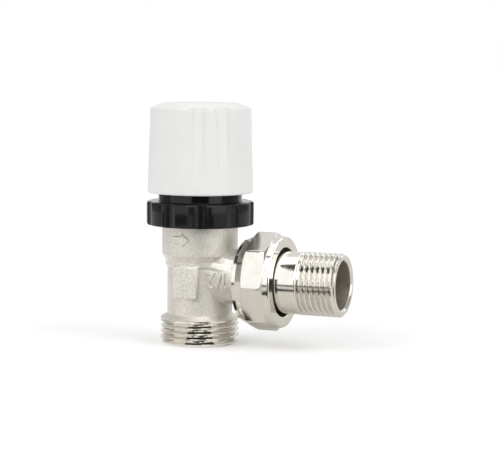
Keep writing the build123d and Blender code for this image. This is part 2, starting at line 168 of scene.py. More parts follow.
# Inside of the handwheel: a hub with the plug's bore, a sleeve with a catch, and the wall round them
hub_bore_r = 3.0
hub_bore_top = 71.1
hub_r = 4.5
hub_bottom = 64.0
sleeve_inner_r = 9.4
sleeve_outer_r = 10.8
sleeve_catch_r = 11.5
sleeve_catch_top = 56.3
sleeve_bottom = 53.0
wheel_inner_r = 13.6
wheel_mouth_r = 15.85
wheel_step_top = 63.25
wheel_step_bottom = 61.0
wheel_ceiling = wheel_top - 2.3
wheel_ceiling_round = 0.4
wheel_mouth_round = 0.3

# Adapter ring
ring_bottom = low("adapter_ring").z
ring_top = ring_bottom + 7.9
ring_r = high("adapter_ring").y
ring_recesses = 10
ring_recess_turn = -65.6
ring_recess_width = 4.5
ring_recess_depth = 0.85
ring_neck_r = 14.0
ring_neck_top = high("adapter_ring").z
ring_bore_r = 11.6
ring_groove_r = 12.6
ring_groove_bottom = 56.7
ring_groove_top = 57.5
ring_thread_r = 15.1
ring_thread_top = 46.0
ring_foot_round = 0.3
ring_bottom_round = 0.8
ring_top_round = 0.7
ring_neck_root_round = 0.25
ring_neck_round = 0.4
ring_bore_round = 0.2
ring_blend = 0.3
ring_columns = 900

# Union nut
nut_start = low("union_nut").x
nut_end = high("union_nut").x
nut_sides = 8
nut_turn = 2.3
nut_flat_r = 15.35
nut_corner_r = nut_flat_r / cos(pi / nut_sides)
nut_band_r = nut_flat_r - 0.1
nut_back_band = 2.35
nut_back_taper = 1.05
nut_back_bevel = 0.7
nut_face_band = 2.3
nut_face_taper = 0.15
nut_face_bevel = 0.55
nut_face_edge = 0.3
nut_hole_r = 11.5
nut_front_wall = 2.9
nut_thread_r = 13.32
nut_hole_round = 0.3
nut_face_margin = 0.25
nut_back_margin = 0.15
nut_corner_blend = 0.5
nut_band_blend = 0.15
nut_bevel_blend = 0.2
nut_columns = 960

# Tailpiece
tail_end = high("tailpiece").x
tail_start = low("tailpiece").x
tail_nose_r = 8.87
tail_nose_end_r = 9.3
tail_groove_r = 7.7
tail_groove_start = 22.2
tail_groove_end = 23.8
tail_cone_r = 9.9
tail_cone_end = 25.0
tail_collar_r = 12.6
tail_collar_start = 25.3
tail_shank_r = 10.3
tail_thread_r = 10.48
tail_thread_start = tail_end - 13.85
tail_thread_runout = (1.2, 1.2)
tail_chamfer = 0.75
tail_bore_r = 7.97
tail_bore_start = tail_end - 16.4
tail_mouth_bevel = 0.55
tail_key_flats = 13.0
tail_edge_round = 0.2
tail_root_round = 0.3
tail_mouth_round = 0.15
tail_thread_rows = 32
tail_columns = 288

# Marks that stand out of the body, and how far they reach into it
mark_half_width = 0.7
mark_rise = 0.6
mark_sink = 0.25
mark_step = 0.4
arrow_angle = -96.3
arrow_z = 35.6
arrow_tail = -3.05
arrow_joint = 0.4
arrow_tip = 3.05
arrow_half_shaft = 1.05
arrow_half_head = 1.9
arrow_half_tip = 0.02
arrow_draft = 0.4
size_mark_x = 10.15
size_mark_angle = -2.8
size_mark_half_height = 2.6
size_mark_bow_r = 1.2
size_mark_bow_across = 2.25
size_mark_bow_along = 1.35

# Part of a noise's range that a colour or a roughness drifts over
noise_low = 0.3
noise_high = 0.7

# Strength of the surroundings as the camera sees them, in reflections and as light
sky_seen = 1.0
sky_mirrored = 0.85
sky_light = 0.62

# Lamps: height above the horizon and spreads, in degrees
lamp_elevation = 35
key_spread = 45
sheen_spread = 140

# Heights of the cards that lie on the floor
card_height = 0.4
grey_card_height = 0.2


def smooth_min(a, b, blend):
    """Smaller of two values, with the crease between them rounded off."""
    share = np.clip(0.5 + 0.5 * (b - a) / blend, 0, 1)
    return b + (a - b) * share - blend * share * (1 - share)


def smooth_max(a, b, blend):
    return -smooth_min(-a, -b, blend)


def rounded(corners, steps=4):
    """Run of points through (radius, height, round) corners, with an arc at each corner that has a round."""
    points = []
    for index, (radius, height, bend) in enumerate(corners):
        here = np.array([radius, height], float)
        if bend == 0:
            points.append(here)
            continue
        before = np.array(corners[index - 1][:2], float) - here
        after = np.array(corners[(index + 1) % len(corners)][:2], float) - here
        before /= np.linalg.norm(before)
        after /= np.linalg.norm(after)
        half = np.arccos(np.clip(before @ after, -1, 1)) / 2
        middle = here + (before + after) / np.linalg.norm(before + after) * bend / np.sin(half)
        start = here + before * bend / np.tan(half) - middle
        end = here + after * bend / np.tan(half) - middle
        turn = np.arctan2(start[0] * end[1] - start[1] * end[0], start @ end)
        for step in range(steps + 1):
            angle = turn * step / steps
            spin = np.array([[np.cos(angle), -np.sin(angle)], [np.sin(angle), np.cos(angle)]])
            points.append(middle + spin @ start)
    return points


def spaced(points, step):
    """The same run with extra points, so that no two are further apart than a step."""
    run = [points[0]]
    for before, after in zip(points, points[1:]):
        count = max(1, int(np.ceil(np.linalg.norm(after - before) / step)))
        run += [before + (after - before) * index / count for index in range(1, count + 1)]
    return run


def about_stem(radius, angle, height):
    return np.stack([radius * np.cos(angle), radius * np.sin(angle), height], -1)


def about_outlet(radius, angle, height):
    """Angle 0 faces the front, and grows towards the bottom."""
    return np.stack([height, -radius * np.cos(angle), outlet_z - radius * np.sin(angle)], -1)


def about_hood(radius, angle, height):
    """Round the neck, on an axis that drops from the root of the neck to its tip."""
    share = (height - hood_root_x) / (hood_tip_x - hood_root_x)
    middle = hood_root_z + (hood_tip_z - hood_root_z) * share
    return np.stack([height, -radius * np.cos(angle), middle - radius * np.sin(angle)], -1)


def skin(name, run, columns, place, shape=None):
    """Closed mesh turned round an axis from a run of (radius, height) points.

    A run that starts and ends on the axis is closed by fans, any other run is closed into a ring.
    The shape function changes the radius of a row from its angles, radius and height.
    """
    angles = np.arange(columns) * 2 * pi / columns
    capped = run[0][0] == 0
    rows = run[1:-1] if capped else run
    points = []
    for radius, height in rows:
        radii = np.full(columns, radius)
        if shape:
            radii = shape(angles, radii, height)
        points.append(place(radii, angles, np.full(columns, height)))
    points = np.concatenate(points)
    count = len(rows)
    faces = []
    for row in range(count - 1 if capped else count):
        here = row * columns
        there = (row + 1) % count * columns
        for column in range(columns):
            side = (column + 1) % columns
            faces.append((here + column, here + side, there + side, there + column))
    if capped:
        tips = [place(np.zeros(1), np.zeros(1), np.full(1, tip[1])) for tip in (run[0], run[-1])]
        points = np.concatenate([points] + tips)
        first, last = len(points) - 2, len(points) - 1
        end = (count - 1) * columns
        for column in range(columns):
            side = (column + 1) % columns
            faces.append((first, side, column))
            faces.append((last, end + column, end + side))
    return mesh_piece(name, points, faces)


def mesh_piece(name, points, faces):
    mesh = bpy.data.meshes.new(name)
    mesh.from_pydata([tuple(point * MM) for point in points], [], faces)
    mesh.validate()
    piece = bpy.data.objects.new(name, mesh)
    bpy.context.scene.collection.objects.link(piece)
    soften(mesh)
    return piece


def soften(mesh, angle=32):
    mesh.shade_smooth()
    mesh.set_sharp_from_angle(angle=radians(angle))


def thread_cut(angle, height, start, end, pitch, depth, runout):
    """Depth of a right-hand screw groove, fading out at both ends."""
    phase = ((height - start) / pitch - angle / (2 * pi)) % 1
    slope = (1 - np.abs(2 * phase - 1) - thread_crest) / (1 - thread_crest - thread_root)
    fade = np.clip(min((height - start) / runout[0], (end - height) / runout[1]), 0, 1)
    return depth * np.clip(slope, 0, 1) * fade


# Forms of the pieces


def make_handwheel():
    """White cap with three pairs of tapered flutes, hollow inside, with its sleeve and hub."""
    inside = [
        (0, hub_bore_top, 0), (hub_bore_r, hub_bore_top, 0),
        (hub_bore_r, hub_bottom, 0), (hub_r, hub_bottom, 0),
        (hub_r, wheel_ceiling, wheel_ceiling_round), (sleeve_inner_r, wheel_ceiling, wheel_ceiling_round),
        (sleeve_inner_r, sleeve_bottom, 0), (sleeve_catch_r, sleeve_bottom, 0),
        (sleeve_catch_r, sleeve_catch_top, 0), (sleeve_outer_r, sleeve_catch_top, 0),
        (sleeve_outer_r, wheel_ceiling, wheel_ceiling_round),
        (wheel_inner_r, wheel_ceiling, wheel_ceiling_round),
        (wheel_inner_r, wheel_step_top, 0), (wheel_mouth_r, wheel_step_bottom, 0),
        (wheel_mouth_r, wheel_bottom, wheel_mouth_round),
    ]
    outside = [
        (wheel_bottom_r, wheel_bottom, wheel_rim_round),
        (wheel_shoulder_r, wheel_shoulder, wheel_shoulder_round),
        (wheel_top_r, wheel_top, wheel_top_round), (0, wheel_top, 0),
    ]
    run = rounded(inside + outside)
    inner = run[:len(rounded(inside))]
    outer = spaced(run[len(inner) - 1:], wheel_row_step)
    rise = wheel_shoulder - flute_bottom
    taper = (wheel_bottom_r - wheel_shoulder_r) / (wheel_shoulder - wheel_bottom)
    outer_wall_r = (wheel_mouth_r + wheel_shoulder_r) / 2

    def shape(angles, radii, height):
        inside_cap = radii[0] < outer_wall_r and height < wheel_shoulder
        if inside_cap or radii[0] < wheel_top_r - row_margin or height < flute_bottom - flute_runout:
            return radii
        share = (height - flute_bottom) / rise
        wall = wheel_bottom_r - taper * (height - wheel_bottom)
        floor = wall - flute_top_depth * share
        half = (flute_bottom_width + (flute_top_width - flute_bottom_width) * share) / 2
        for turn in flute_angles:
            offset = (angles - radians(turn) + pi) % (2 * pi) - pi
            across = np.abs(np.sin(offset)) * wall
            side = floor + smooth_max((across - half) / flute_wall_slope, np.zeros_like(across), flute_blend)
            cut = np.where(np.cos(offset) > 0, side, radii + beyond)
            radii = smooth_min(radii, cut, flute_blend)
        return radii

    return skin("handwheel_cap", inner[:-1] + outer, wheel_columns, about_stem, shape)


def make_adapter_ring():
    """Black ring with scalloped recesses round it, and the neck that guides the handwheel."""
    corners = [
        (ring_thread_r, ring_bottom, ring_foot_round), (ring_r, ring_bottom, ring_bottom_round),
        (ring_r, ring_top, ring_top_round), (ring_neck_r, ring_top, ring_neck_root_round),
        (ring_neck_r, ring_neck_top, ring_neck_round), (ring_bore_r, ring_neck_top, ring_bore_round),
        (ring_bore_r, ring_groove_top, 0), (ring_groove_r, ring_groove_top, 0),
        (ring_groove_r, ring_groove_bottom, 0), (ring_bore_r, ring_groove_bottom, 0),
        (ring_bore_r, ring_thread_top, 0), (ring_thread_r, ring_thread_top, 0),
    ]
    half = ring_recess_width / 2
    rise = ring_recess_depth - ring_r + sqrt(ring_r ** 2 - half ** 2)
    cutter_r = (half ** 2 + rise ** 2) / (2 * rise)
    centre = ring_r - ring_recess_depth + cutter_r

    def shape(angles, radii, height):
        if height > ring_top + tiny or radii[0] < ring_neck_r + row_margin:
            return radii
        step = 2 * pi / ring_recesses
        offset = (angles - radians(ring_recess_turn) + step / 2) % step - step / 2
        root = np.maximum(cutter_r ** 2 - (centre * np.sin(offset)) ** 2, 0)
        recess = centre * np.cos(offset) - np.sqrt(root)
        return smooth_min(radii, np.where(root > 0, recess, ring_r + beyond), ring_blend)

    return skin("grip_ring", rounded(corners), ring_columns, about_stem, shape)


def make_union_nut():
    """Eight-sided union nut with a turned band and a steep bevel at each end, and soft edges."""
    back_x = nut_start + nut_back_band
    face_x = nut_end - nut_face_band
    face_r = nut_band_r - nut_face_taper
    rise = nut_corner_r - nut_band_r
    # Rows of points lie closest at the bevels, between the second and third and the fourth and fifth stations
    stations = (
        nut_start, back_x - nut_bevel_blend, back_x + nut_back_bevel,
        face_x - nut_face_bevel, face_x + nut_bevel_blend, nut_end,
    )
    steps_between = (10, 26, 4, 26, 14)
    heights = [nut_start]
    for before, after, steps in zip(stations, stations[1:], steps_between):
        heights += list(np.linspace(before, after, steps + 1)[1:])
    outer = [np.array([nut_corner_r, height]) for height in heights]
    inner = rounded([
        (face_r - nut_face_edge - nut_face_margin, nut_end, 0),
        (nut_hole_r + nut_hole_round + nut_face_margin, nut_end, 0), (nut_hole_r, nut_end, nut_hole_round),
        (nut_hole_r, nut_end - nut_front_wall, 0), (nut_thread_r, nut_end - nut_front_wall, 0),
        (nut_thread_r, nut_start, nut_hole_round),
        (nut_thread_r + nut_hole_round + nut_back_margin, nut_start, 0),
    ])

    def shape(angles, radii, height):
        if radii[0] < nut_corner_r - tiny:
            return radii
        step = 2 * pi / nut_sides
        offset = (angles - radians(nut_turn)) % step - step / 2
        near = nut_flat_r / np.cos(offset)
        beside = nut_flat_r / np.cos(step - np.abs(offset))
        flats = smooth_min(near, beside, nut_corner_blend)
        back_band = nut_band_r - nut_back_taper * (back_x - height) / nut_back_band
        back_bevel = nut_band_r + rise * (height - back_x) / nut_back_bevel
        face_band = nut_band_r - nut_face_taper * (height - face_x) / (nut_face_band - nut_face_edge)
        face_bevel = nut_band_r + rise * (face_x - height) / nut_face_bevel
        edge = face_r + nut_end - nut_face_edge - height
        back = smooth_max(back_band, back_bevel, nut_band_blend)
        face = smooth_min(smooth_max(face_band, face_bevel, nut_band_blend), edge, nut_band_blend)
        return smooth_min(smooth_min(flats, back, nut_bevel_blend), face, nut_bevel_blend)

    return skin("octagon_nut", outer + inner, nut_columns, about_outlet, shape)


def make_tailpiece():
    """Turned tailpiece with a collar behind the nut, a plain shank and a pipe thread."""
    key_r = tail_key_flats / 2
    collar_end = nut_end - nut_front_wall
    outside = rounded([
        (key_r, tail_start, 0), (tail_nose_r, tail_start, tail_edge_round),
        (tail_nose_end_r, tail_groove_start, 0), (tail_groove_r, tail_groove_start, 0),
        (tail_groove_r, tail_groove_end, 0), (tail_cone_r, tail_groove_end, 0),
        (tail_shank_r, tail_cone_end, 0), (tail_shank_r, tail_collar_start, 0),
        (tail_collar_r, tail_collar_start, tail_edge_round), (tail_collar_r, collar_end, tail_edge_round),
        (tail_shank_r, collar_end, tail_root_round), (tail_shank_r, tail_thread_start, 0),
    ])
    screwed = spaced([
        np.array([tail_thread_r, tail_thread_start]), np.array([tail_thread_r, tail_end - tail_chamfer]),
        np.array([tail_thread_r - tail_chamfer, tail_end]),
    ], pipe_pitch / tail_thread_rows)
    inside = rounded([
        (tail_thread_r - tail_chamfer, tail_end, 0),
        (tail_bore_r + tail_mouth_bevel, tail_end, tail_mouth_round),
        (tail_bore_r, tail_end - tail_mouth_bevel, tail_edge_round), (tail_bore_r, tail_bore_start, 0),
        (key_r, tail_bore_start, 0),
    ])[1:]

    def shape(angles, radii, height):
        if radii[0] > tail_thread_r - tail_chamfer - tiny and height > tail_thread_start - tiny:
            start, end = tail_thread_start, tail_end + pipe_pitch / 2
            cut = thread_cut(angles, height, start, end, pipe_pitch, pipe_depth, tail_thread_runout)
            return np.minimum(radii, tail_thread_r - cut)
        if abs(radii[0] - key_r) < tiny:
            side = pi / 3
            return key_r / np.cos(angles % side - side / 2)
        return radii

    return skin("threaded_tailpiece", outside + screwed + inside, tail_columns, about_outlet, shape)


def thread_cutter(name, radius, start, end, pitch, depth, runout, place):
    """Ring that removes a screw groove from a plain cylinder."""
    count = int((end - start) / pitch * thread_rows)
    heights = np.linspace(end, start, count)
    outer = [np.array([radius + cutter_reach, height]) for height in (start, end)]
    inner = [np.array([radius, height]) for height in heights]

    def shape(angles, radii, height):
        if radii[0] > radius + tiny:
            return radii
        return radii + cutter_clearance - thread_cut(angles, height, start, end, pitch, depth, runout)

    return skin(name, outer + inner, thread_columns, place, shape)


def copied(name, node):
    """New piece with the shape of a solid, its facets joined into one surface."""
    mesh = frame["nodes"][node].data.copy()
    mesh.materials.clear()
    form = bmesh.new()
    form.from_mesh(mesh)
    bmesh.ops.remove_doubles(form, verts=form.verts, dist=weld_reach * MM)
    form.to_mesh(mesh)
    form.free()
    piece = bpy.data.objects.new(name, mesh)
    bpy.context.scene.collection.objects.link(piece)
    return piece


def make_return_spring():
    piece = copied("coil_spring", "return_spring")
    soften(piece.data)
    return piece


def make_valve_body():
    """The forged body, with its screw threads cut into it."""
    body = copied("forged_body", "valve_body")
    sleeve_r = inlet_r + inlet_sleeve_lap
    sleeve = skin("inlet_sleeve", [np.array(corner) for corner in (
        (inlet_sleeve_r, inlet_thread_top), (inlet_sleeve_r, inlet_sleeve_lap),
        (sleeve_r + inlet_sleeve_lap - inlet_chamfer, inlet_sleeve_lap),
        (sleeve_r, inlet_chamfer), (sleeve_r, inlet_thread_top),
    )], thread_columns, about_stem)
    hood = skin("neck_hood", [np.array(corner) for corner in (
        (hood_bore, hood_root_x), (hood_root_r, hood_root_x),
        (hood_tip_r, hood_tip_x), (hood_bore, hood_tip_x),
    )], thread_columns, about_hood)
    core = skin("stem_core", [np.array(corner) for corner in (
        (0, hood_core_bottom), (hood_core_r, hood_core_bottom),
        (hood_core_r, hood_core_top), (0, hood_core_top),
    )], hood_core_columns, about_stem)
    clear = hood.modifiers.new("clear_of_the_chamber", "BOOLEAN")
    clear.operation = "DIFFERENCE"
    clear.solver = "MANIFOLD"
    clear.object = core
    inlet_cutter = thread_cutter(
        "inlet_cutter", inlet_r, -thread_overrun, inlet_thread_top - inlet_thread_gap,
        pipe_pitch, pipe_depth, inlet_runout, about_stem
    )
    head_cutter = thread_cutter(
        "head_cutter", head_r, head_thread_bottom, head_thread_top + thread_overrun,
        head_pitch, head_depth, thread_runout, about_stem
    )
    union_cutter = thread_cutter(
        "union_cutter", union_r, union_thread_start, union_thread_end + thread_overrun,
        pipe_pitch, pipe_depth, thread_runout, about_outlet
    )
    tools = [
        (sleeve, "UNION"), (hood, "UNION"),
        (inlet_cutter, "DIFFERENCE"), (head_cutter, "DIFFERENCE"), (union_cutter, "DIFFERENCE"),
    ]
    for tool, operation in tools:
        carve = body.modifiers.new(tool.name, "BOOLEAN")
        carve.operation = operation
        carve.solver = "MANIFOLD"
        carve.object = tool
    depsgraph = bpy.context.evaluated_depsgraph_get()
    carved = bpy.data.meshes.new_from_object(body.evaluated_get(depsgraph))
    body.modifiers.clear()
    body.data = carved
    for tool in [tool for tool, operation in tools] + [core]:
        bpy.data.objects.remove(tool)
    soften(carved)
    turn_normals(carved)
    return body


def turn_normals(mesh, tolerance=0.03, reach=8, least_slope=0.2):
    """Give the faces that were turned about the stem or the neck the normals of a true round."""
    corners = np.zeros(len(mesh.vertices) * 3)
    mesh.vertices.foreach_get("co", corners)
    corners = corners.reshape(-1, 3) / MM
    normals = np.zeros((len(mesh.loops), 3))
    stem = (corners[:, [0, 1]], corners[:, 2], (0, 1, 2))
    outlet = (corners[:, [1, 2]] - np.array([0, outlet_z]), corners[:, 0], (1, 2, 0))
    neck = (corners[:, [1, 2]] - np.array([0, neck_z]), corners[:, 0], (1, 2, 0))
    for face in mesh.polygons:
        around = list(face.vertices)
        for flat, along, order in (stem, neck, outlet):
            first, second, third = (face.normal[axis] for axis in order)
            slope = sqrt(first * first + second * second)
            if slope < least_slope:
                continue
            radius = np.linalg.norm(flat[around], axis=1)
            drift = (radius - radius[0]) * slope + (along[around] - along[around[0]]) * third
            heading = np.arctan2(second, first)
            angles = np.arctan2(flat[around, 1], flat[around, 0])
            swing = (angles - heading + pi) % (2 * pi) - pi
            if np.abs(drift).max() > tolerance or np.abs(swing).max() > radians(reach):
                continue
            turned = np.zeros((len(around), 3))
            turned[:, order[0]] = slope * np.cos(angles)
            turned[:, order[1]] = slope * np.sin(angles)
            turned[:, order[2]] = third
            normals[list(face.loop_indices)] = turned
            break
    mesh.normals_split_custom_set(normals.tolist())


def is_machined(centre):
    """True for a place on the body that was turned after blasting: its threads and its inside."""
    x, y, z = centre / MM
    from_stem = sqrt(x * x + y * y)
    from_outlet = sqrt(y * y + (z - outlet_z) ** 2)
    if z < inlet_thread_top + turned_margin and from_stem < inlet_r + crest_margin:
        return True
    if z > head_thread_bottom - turned_margin:
        return True
    if x > union_thread_start - union_collar_width:
        return True
    in_chamber = x < chamber_reach and from_stem < barrel_r - barrel_skin
    in_outlet = x > 0 and from_outlet < neck_r - neck_skin
    return in_chamber or in_outlet


def recess(centre):
    """Material index: 1 for the painted shade of the tailpiece's bore, 2 for the painted shade of the crevice
    under the nut's front wall, and 0 elsewhere.
    """
    x, y, z = centre / MM
    from_outlet = sqrt(y * y + (z - outlet_z) ** 2)
    in_crevice = tail_shank_r + crest_margin < from_outlet < nut_thread_r + crest_margin
    if in_crevice and x < nut_end - recess_depth:
        return 2
    return int(x < tail_end - tail_mouth_bevel and from_outlet < tail_bore_r + turned_margin)


def loft(name, rings):
    """Closed mesh through rings of points, with its ends filled."""
    size = len(rings[0])
    last = (len(rings) - 1) * size
    faces = []
    for here in range(0, last, size):
        there = here + size
        for corner in range(size):
            side = (corner + 1) % size
            faces.append((here + corner, here + side, there + side, there + corner))
    faces.append(tuple(range(size)))
    faces.append(tuple(reversed(range(last, last + size))))
    piece = mesh_piece(name, np.array([vertex for ring in rings for vertex in ring]), faces)
    form = bmesh.new()
    form.from_mesh(piece.data)
    bmesh.ops.recalc_face_normals(form, faces=form.faces)
    form.to_mesh(piece.data)
    form.free()
    return piece


def stroke(name, points, place):
    """Raised stroke along points on a surface, given as (across, along) in millimetres."""
    section = [(-1, -mark_sink), (-0.5, mark_rise), (0.5, mark_rise), (1, -mark_sink)]
    points = spaced([np.array(point, float) for point in points], mark_step)
    rings = []
    for index, here in enumerate(points):
        before = points[index - 1] if index else here - (points[1] - here)
        after = points[index + 1] if index < len(points) - 1 else here + (here - points[-2])
        way = (after - before) / np.linalg.norm(after - before)
        side = np.array([-way[1], way[0]])
        rings.append([place(here + side * offset * mark_half_width, lift) for offset, lift in section])
    return loft(name, rings)


def surface_under(outside, inside):
    """Point of the forged body on the way from a point outside it to one inside it, and the way out of it."""
    way = (inside - outside).normalized()
    place = body_tree.ray_cast(outside * MM, way)[0]
    return place / MM, -way


def on_upper_barrel(point, lift):
    angle = radians(arrow_angle) + point[0] / upper_r
    height = arrow_z + point[1]
    outside = Vector((2 * upper_r * cos(angle), 2 * upper_r * sin(angle), height))
    place, out = surface_under(outside, Vector((0, 0, height)))
    return np.array(place + out * lift)


def on_neck(point, lift):
    angle = radians(size_mark_angle) + point[1] / neck_r
    across = size_mark_x + point[0]
    outside = Vector((across, -2 * neck_r * cos(angle), neck_z + 2 * neck_r * sin(angle)))
    place, out = surface_under(outside, Vector((across, 0, neck_z)))
    return np.array(place + out * lift)


def make_flow_arrow():
    """Raised arrow on the barrel, made of slices across it from its tail to its tip."""
    slices = [(along, arrow_half_shaft) for along in np.linspace(arrow_tail, arrow_joint, 8)]
    slices += [
        (along, arrow_half_head * (arrow_tip - along) / (arrow_tip - arrow_joint) + arrow_half_tip)
        for along in np.linspace(arrow_joint + tiny, arrow_tip, 8)
    ]
    rings = []
    for along, half in slices:
        heights = np.linspace(-half, half, 5)
        top = [on_upper_barrel((along, height), mark_rise) for height in heights]
        foot = [
            on_upper_barrel((along, half + arrow_draft), -mark_sink),
            on_upper_barrel((along, -half - arrow_draft), -mark_sink),
        ]
        rings.append(top + foot)
    return loft("flow_arrow", rings)


def make_size_mark():
    """The pipe size, one half, cast upside down on the neck."""
    top = size_mark_half_height
    bow = []
    for angle in np.linspace(radians(170), radians(-35), 9):
        across = size_mark_bow_across + size_mark_bow_r * cos(angle)
        bow.append((across, size_mark_bow_along + size_mark_bow_r * sin(angle)))
    strokes = {
        "mark_one": [(-3.3, 1.5), (-2.2, top), (-2.2, -top)],
        "mark_bar": [(0.55, top), (-1.45, -top)],
        "mark_two": bow + [(1.1, -2.5), (3.5, -2.5)],
    }
    marks = []
    for name, points in strokes.items():
        marks.append(stroke(name, [(-across, -along) for across, along in points], on_neck))
    return marks


# Materials


def node_material(name):
    material = bpy.data.materials.new(name)
    material.use_nodes = True
    return material, material.node_tree, material.node_tree.nodes["Principled BSDF"]


def noise(tree, scale, detail=3.0):
    """Noise in the model's own frame. The scale is in features per metre."""
    place = tree.nodes.new("ShaderNodeTexCoord")
    texture = tree.nodes.new("ShaderNodeTexNoise")
    texture.inputs["Scale"].default_value = scale
    texture.inputs["Detail"].default_value = detail
    tree.links.new(place.outputs["Object"], texture.inputs["Vector"])
    return texture.outputs["Fac"]


def ranged(tree, value, low_out, high_out):
    node = tree.nodes.new("ShaderNodeMapRange")
    node.inputs["From Min"].default_value = noise_low
    node.inputs["From Max"].default_value = noise_high
    node.inputs["To Min"].default_value = low_out
    node.inputs["To Max"].default_value = high_out
    tree.links.new(value, node.inputs["Value"])
    return node.outputs["Result"]


def tinted(tree, value, first, second):
    ramp = tree.nodes.new("ShaderNodeValToRGB")
    ramp.color_ramp.elements[0].position = noise_low
    ramp.color_ramp.elements[0].color = (*first, 1)
    ramp.color_ramp.elements[1].position = noise_high
    ramp.color_ramp.elements[1].color = (*second, 1)
    tree.links.new(value, ramp.inputs["Fac"])
    return ramp.outputs["Color"]


def bumped(tree, shader, value, strength, distance):
    bump = tree.nodes.new("ShaderNodeBump")
    bump.inputs["Strength"].default_value = strength
    bump.inputs["Distance"].default_value = distance * MM
    tree.links.new(value, bump.inputs["Height"])
    tree.links.new(bump.outputs["Normal"], shader.inputs["Normal"])


def surface(name, first, second, colour_scale, rough, rough_scale, metallic, grain, specular=0.5):
    """Material whose colour and roughness drift between two values, with a fine grain in relief."""
    material, tree, shader = node_material(name)
    shader.inputs["Metallic"].default_value = metallic
    colour = tinted(tree, noise(tree, colour_scale), first, second)
    tree.links.new(colour, shader.inputs["Base Color"])
    shader.inputs["Specular IOR Level"].default_value = specular
    roughness = ranged(tree, noise(tree, rough_scale), *rough)
    tree.links.new(roughness, shader.inputs["Roughness"])
    scale, strength, depth = grain
    bumped(tree, shader, noise(tree, scale, detail=4.0), strength, depth)
    return material


nickel_blasted = surface(
    "nickel_blasted", (0.68, 0.655, 0.60), (1.0, 0.98, 0.925), colour_scale=2600,
    rough=(0.42, 0.52), rough_scale=1800, metallic=0.94, grain=(2600, 1.0, 0.15)
)
nickel_bright = surface(
    "nickel_bright", (0.75, 0.725, 0.67), (0.81, 0.79, 0.745), colour_scale=300,
    rough=(0.10, 0.17), rough_scale=1200, metallic=1.0, grain=(5200, 0.05, 0.01)
)
# Painted shade: a dark brownish nickel colour for the tailpiece's bore stands in for the shade inside it; its
# higher roughness is the bore's own
bore_painted_shade = surface(
    "bore_painted_shade", (0.38, 0.335, 0.28), (0.47, 0.425, 0.37), colour_scale=500,
    rough=(0.4, 0.55), rough_scale=1200, metallic=0.8, grain=(3000, 0.3, 0.03)
)
# Painted shade: a near-black colour for the crevice under the nut's front wall stands in for the shade there
crevice_painted_shade = surface(
    "crevice_painted_shade", (0.10, 0.09, 0.075), (0.15, 0.135, 0.115), colour_scale=500,
    rough=(0.4, 0.55), rough_scale=1200, metallic=0.6, grain=(3000, 0.3, 0.03)
)
plain_brass = surface(
    "plain_brass", (0.66, 0.47, 0.2), (0.75, 0.57, 0.28), colour_scale=400,
    rough=(0.18, 0.3), rough_scale=1500, metallic=1.0, grain=(4200, 0.2, 0.02)
)
stainless = surface(
    "stainless", (0.55, 0.55, 0.55), (0.64, 0.64, 0.63), colour_scale=400,
    rough=(0.18, 0.32), rough_scale=1500, metallic=1.0, grain=(4200, 0.2, 0.02)
)
seal_rubber = surface(
    "seal_rubber", (0.018, 0.018, 0.018), (0.035, 0.034, 0.033), colour_scale=700,
    rough=(0.55, 0.75), rough_scale=1500, metallic=0.0, grain=(4000, 0.3, 0.03)
)
black_plastic = surface(
    "black_plastic", (0.007, 0.007, 0.008), (0.012, 0.012, 0.013), colour_scale=500,
    rough=(0.09, 0.15), rough_scale=900, metallic=0.0, grain=(2200, 0.08, 0.02), specular=0.28
)
natural_plastic = surface(
    "natural_plastic", (0.70, 0.69, 0.64), (0.77, 0.76, 0.72), colour_scale=300,
    rough=(0.35, 0.5), rough_scale=900, metallic=0.0, grain=(2600, 0.2, 0.03)
)
white_plastic = surface(
    "white_plastic", (0.79, 0.79, 0.775), (0.815, 0.815, 0.80), colour_scale=120,
    rough=(0.34, 0.42), rough_scale=600, metallic=0.0, grain=(2600, 0.1, 0.02)
)

# Finishes by the names of the material slots
finishes = {
    "nickel_blasted": nickel_blasted,
    "nickel_bright": nickel_bright,
    "plain_brass": plain_brass,
    "stainless": stainless,
    "seal_rubber": seal_rubber,
    "black_plastic": black_plastic,
    "natural_plastic": natural_plastic,
    "white_plastic": white_plastic,
}


def finish(piece, slot):
    piece.data.materials.clear()
    piece.data.materials.append(finishes[slot])


def dress(piece, body, slot, node=None):
    """Give a piece its finish and its body, and hide the solid that it stands for."""
    finish(piece, slot)
    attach(piece, body)
    if node:
        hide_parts(node)


# Pieces on their bodies

for part in frame["record"]["subparts"]:
    solid = frame["nodes"][part["node"]]
    finish(solid, part["material_slot"])
    soften(solid.data)

dress(make_handwheel(), "wheel", "white_plastic", "handwheel")
dress(make_adapter_ring(), "ring", "black_plastic", "adapter_ring")
union_nut = make_union_nut()
dress(union_nut, "nut", "nickel_bright", "union_nut")
tailpiece = make_tailpiece()
dress(tailpiece, "tail", "nickel_bright", "tailpiece")
# Painted shade: the tailpiece's bore and the crevice under the nut's front wall get darker materials where
# shade falls
for piece in (union_nut, tailpiece):
    piece.data.materials.append(bore_painted_shade)
    piece.data.materials.append(crevice_painted_shade)
    for face in piece.data.polygons:
        face.material_index = recess(face.center)
forged_body = make_valve_body()
body_tree = BVHTree.FromPolygons(
    [vertex.co for vertex in forged_body.data.vertices], [face.vertices for face in forged_body.data.polygons]
)
dress(forged_body, "valve", "nickel_blasted", "valve_body")
forged_body.data.materials.append(nickel_bright)
for face in forged_body.data.polygons:
    face.material_index = int(is_machined(face.center))
dress(make_flow_arrow(), "valve", "nickel_blasted")
coil_spring = make_return_spring()
dress(coil_spring, "valve", "stainless", "return_spring")
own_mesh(coil_spring)
for mark in make_size_mark():
    dress(mark, "valve", "nickel_blasted")

# Stage: pale floor, white surroundings and dark cards that the metal reflects


